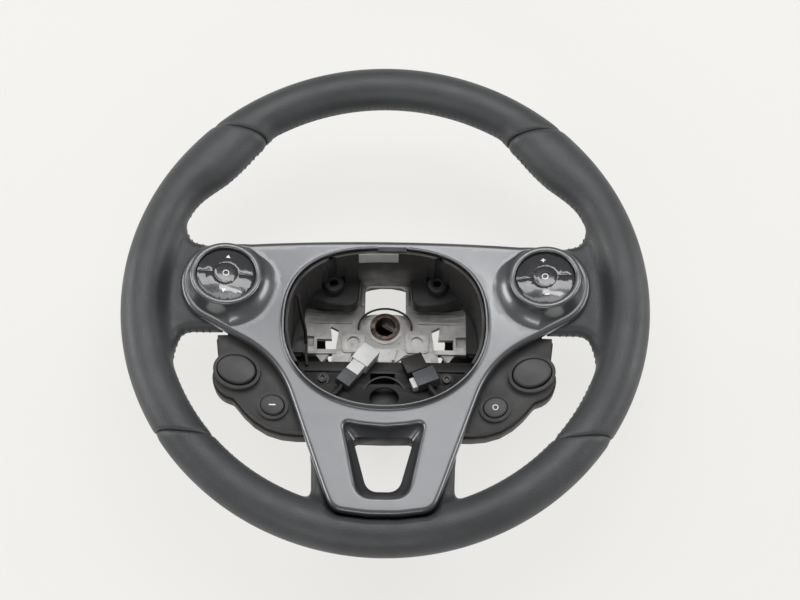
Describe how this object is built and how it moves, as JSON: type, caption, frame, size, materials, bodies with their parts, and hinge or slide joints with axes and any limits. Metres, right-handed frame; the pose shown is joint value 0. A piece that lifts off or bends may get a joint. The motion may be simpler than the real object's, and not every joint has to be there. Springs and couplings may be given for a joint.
{
  "type": "car steering wheel",
  "caption": "Car steering wheel with leather-covered rim, silver three-spoke bezel, key pods and open airbag space",
  "frame": {"origin": "on the hub axis at the rear face of the hub", "axes": "+Z along the hub axis towards the driver, +Y to 12 o'clock, +X to 3 o'clock"},
  "size_m": [0.37, 0.37, 0.1097],
  "materials": {
    "leather": "fine grained dark grey leather",
    "foam": "moulded polyurethane foam",
    "casting": "raw light alloy casting",
    "steel": "plain steel with a little rust",
    "silver_trim": "matt silver grey lacquer",
    "black_plastic": "moulded black",
    "switch_housing": "moulded dark grey",
    "gloss_key": "gloss black",
    "satin_key": "satin black",
    "board": "solder mask",
    "white_plastic": "moulded white",
    "grey_plastic": "moulded grey",
    "label": "bare pale label"
  },
  "bodies": {
    "wheel": {"armature": "casting", "hub_sleeve": "steel", "rim_foam": "foam", "leather_top": "leather", "leather_left": "leather", "leather_bottom": "leather", "leather_right": "leather", "front_bezel": "silver_trim", "window_liner": "black_plastic", "rear_cover": "black_plastic", "upper_carrier": "black_plastic", "lower_carrier": "black_plastic", "left_pod_housing": "black_plastic", "right_pod_housing": "black_plastic", "left_pod_board": "board", "right_pod_board": "board", "left_lower_housing": "switch_housing", "right_lower_housing": "switch_housing", "left_lower_board": "board", "right_lower_board": "board", "left_bushing": "black_plastic", "right_bushing": "black_plastic", "left_contact_ring": "steel", "right_contact_ring": "steel", "retaining_wire": "steel", "blank_label": "label", "carrier_screws": "steel", "left_harness": "black_plastic", "white_connector": "white_plastic", "white_latch": "white_plastic", "white_lead_boot": "grey_plastic", "white_lead": "black_plastic", "black_connector": "black_plastic", "grey_connector": "grey_plastic", "connector_tab": "white_plastic", "black_lead": "black_plastic"},
    "key_up": {"key_up": "gloss_key"},
    "key_down": {"key_down": "gloss_key"},
    "key_select": {"key_select": "gloss_key"},
    "key_plus": {"key_plus": "gloss_key"},
    "key_minus": {"key_minus": "gloss_key"},
    "key_voice": {"key_voice": "gloss_key"},
    "left_rocker": {"left_rocker": "satin_key"},
    "right_rocker": {"right_rocker": "satin_key"},
    "cancel_button": {"cancel_button": "satin_key"},
    "resume_button": {"resume_button": "satin_key"}
  },
  "joints": [
    {"name": "key_up_press", "type": "slide", "parent": "wheel", "child": "key_up", "axis": [0.1124, 0.1219, 0.9862], "range_m": [-0.0008, 0], "stiffness_N_per_m": 1200},
    {"name": "key_down_press", "type": "slide", "parent": "wheel", "child": "key_down", "axis": [0.1124, 0.1219, 0.9862], "range_m": [-0.0008, 0], "stiffness_N_per_m": 1200},
    {"name": "key_select_press", "type": "slide", "parent": "wheel", "child": "key_select", "axis": [0.1124, 0.1219, 0.9862], "range_m": [-0.0008, 0], "stiffness_N_per_m": 1200},
    {"name": "key_plus_press", "type": "slide", "parent": "wheel", "child": "key_plus", "axis": [-0.1124, 0.1219, 0.9862], "range_m": [-0.0008, 0], "stiffness_N_per_m": 1200},
    {"name": "key_minus_press", "type": "slide", "parent": "wheel", "child": "key_minus", "axis": [-0.1124, 0.1219, 0.9862], "range_m": [-0.0008, 0], "stiffness_N_per_m": 1200},
    {"name": "key_voice_press", "type": "slide", "parent": "wheel", "child": "key_voice", "axis": [-0.1124, 0.1219, 0.9862], "range_m": [-0.0008, 0], "stiffness_N_per_m": 1200},
    {"name": "cancel_button_press", "type": "slide", "parent": "wheel", "child": "cancel_button", "axis": [0, 0, 1], "range_m": [-0.001, 0], "stiffness_N_per_m": 1000},
    {"name": "resume_button_press", "type": "slide", "parent": "wheel", "child": "resume_button", "axis": [0, 0, 1], "range_m": [-0.001, 0], "stiffness_N_per_m": 1000},
    {"name": "left_rocker_swing", "type": "hinge", "parent": "wheel", "child": "left_rocker", "pos_m": [-0.1012, -0.056, 0.0773], "axis": [0.309, 0.9511, 0], "range_deg": [-3.5, 3.5], "stiffness_Nm_per_rad": 0.3},
    {"name": "right_rocker_swing", "type": "hinge", "parent": "wheel", "child": "right_rocker", "pos_m": [0.1012, -0.056, 0.0773], "axis": [-0.309, 0.9511, 0], "range_deg": [-3.5, 3.5], "stiffness_Nm_per_rad": 0.3}
  ]
}
